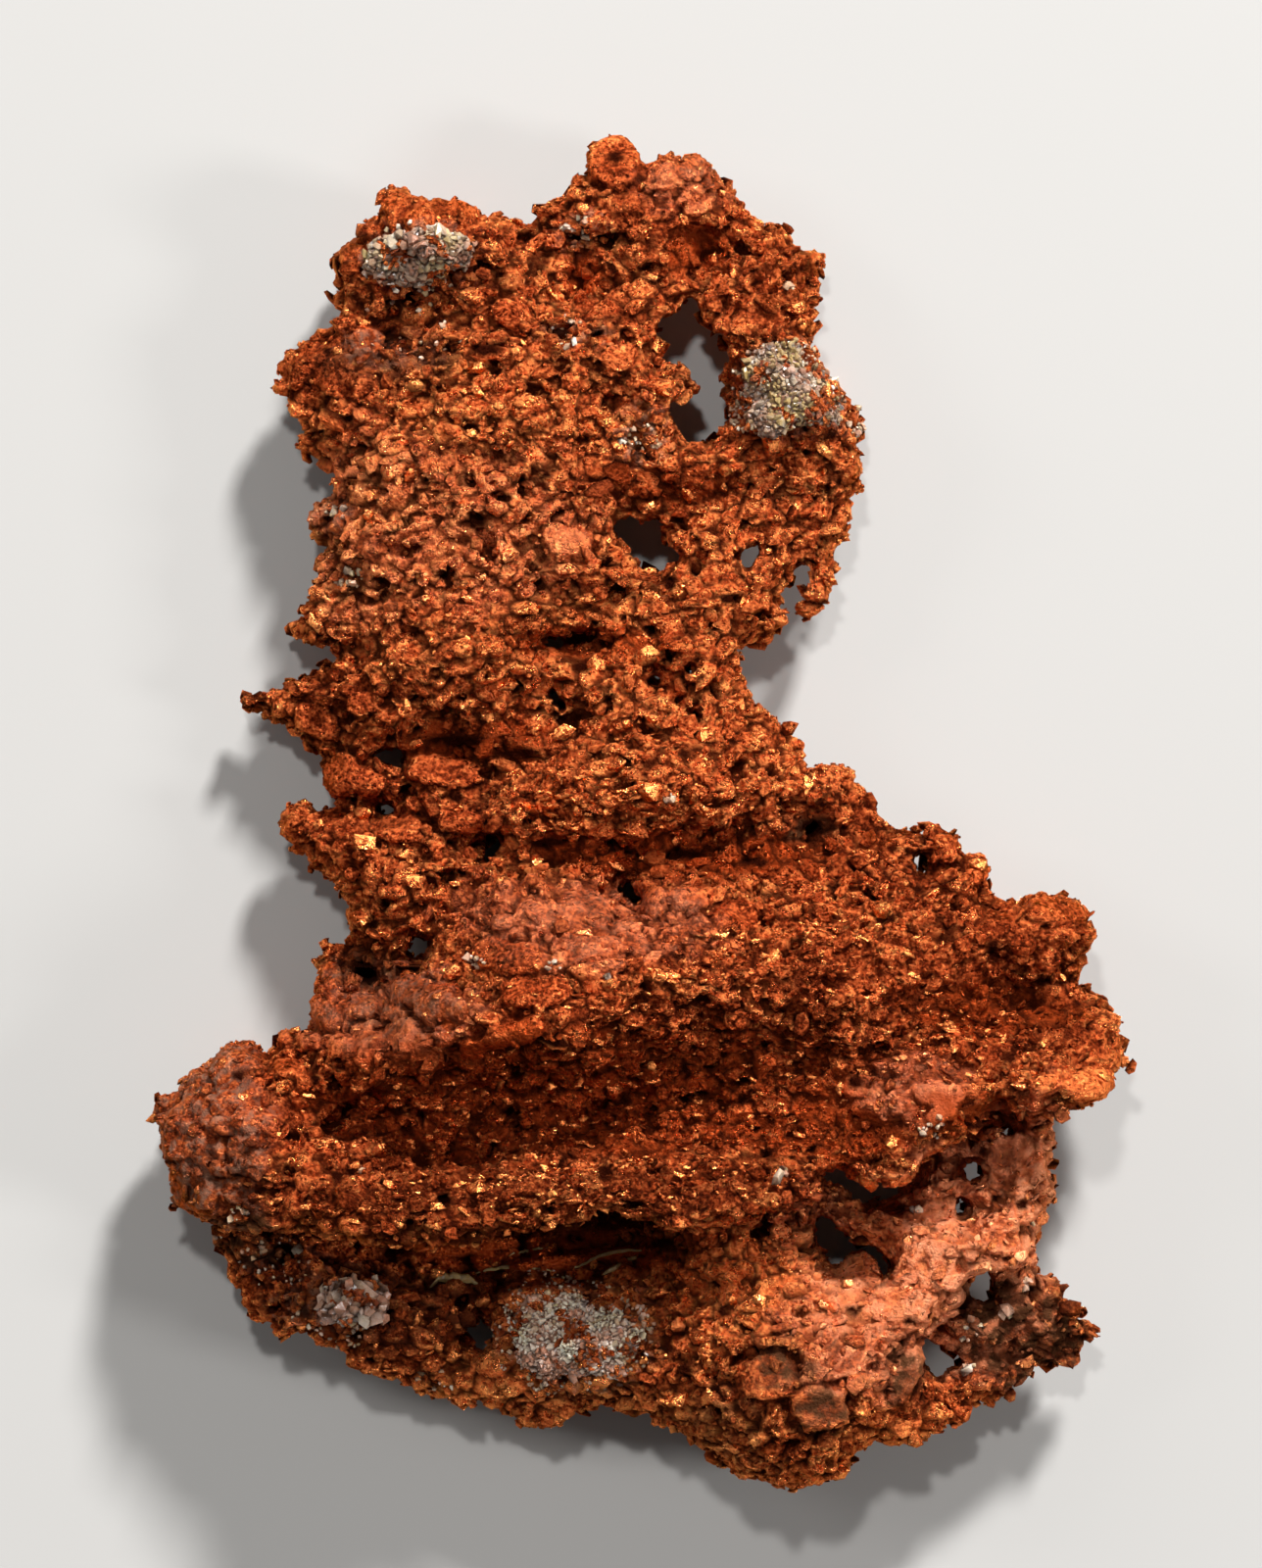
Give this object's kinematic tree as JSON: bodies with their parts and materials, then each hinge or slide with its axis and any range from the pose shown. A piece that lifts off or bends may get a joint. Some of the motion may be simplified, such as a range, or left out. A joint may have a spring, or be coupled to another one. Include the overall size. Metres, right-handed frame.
{
  "type": "native copper nugget",
  "caption": "Spongy native copper nugget with a broad hem, an overhanging lip, a pierced head and pale crystal crusts, lying on its back.",
  "frame": {"origin": "under the middle of the nugget's footprint, on the surface that it lies on", "axes": "+Y from the hem to the head, +Z out of the broad front, +X to the right as seen from the front"},
  "size_m": [0.0694, 0.0962, 0.0217],
  "materials": {
    "copper": "rough native copper, orange-brown with tarnish and bright glints",
    "mineral": "pale grey to cream crystal crust, sugary and slightly glassy"
  },
  "bodies": {
    "root": {"copper_nugget": "copper", "crystals_in_head": "mineral", "crystals_on_shoulder": "mineral", "crystals_on_hem": "mineral", "crystals_on_left_hem": "mineral"}
  },
  "joints": []
}
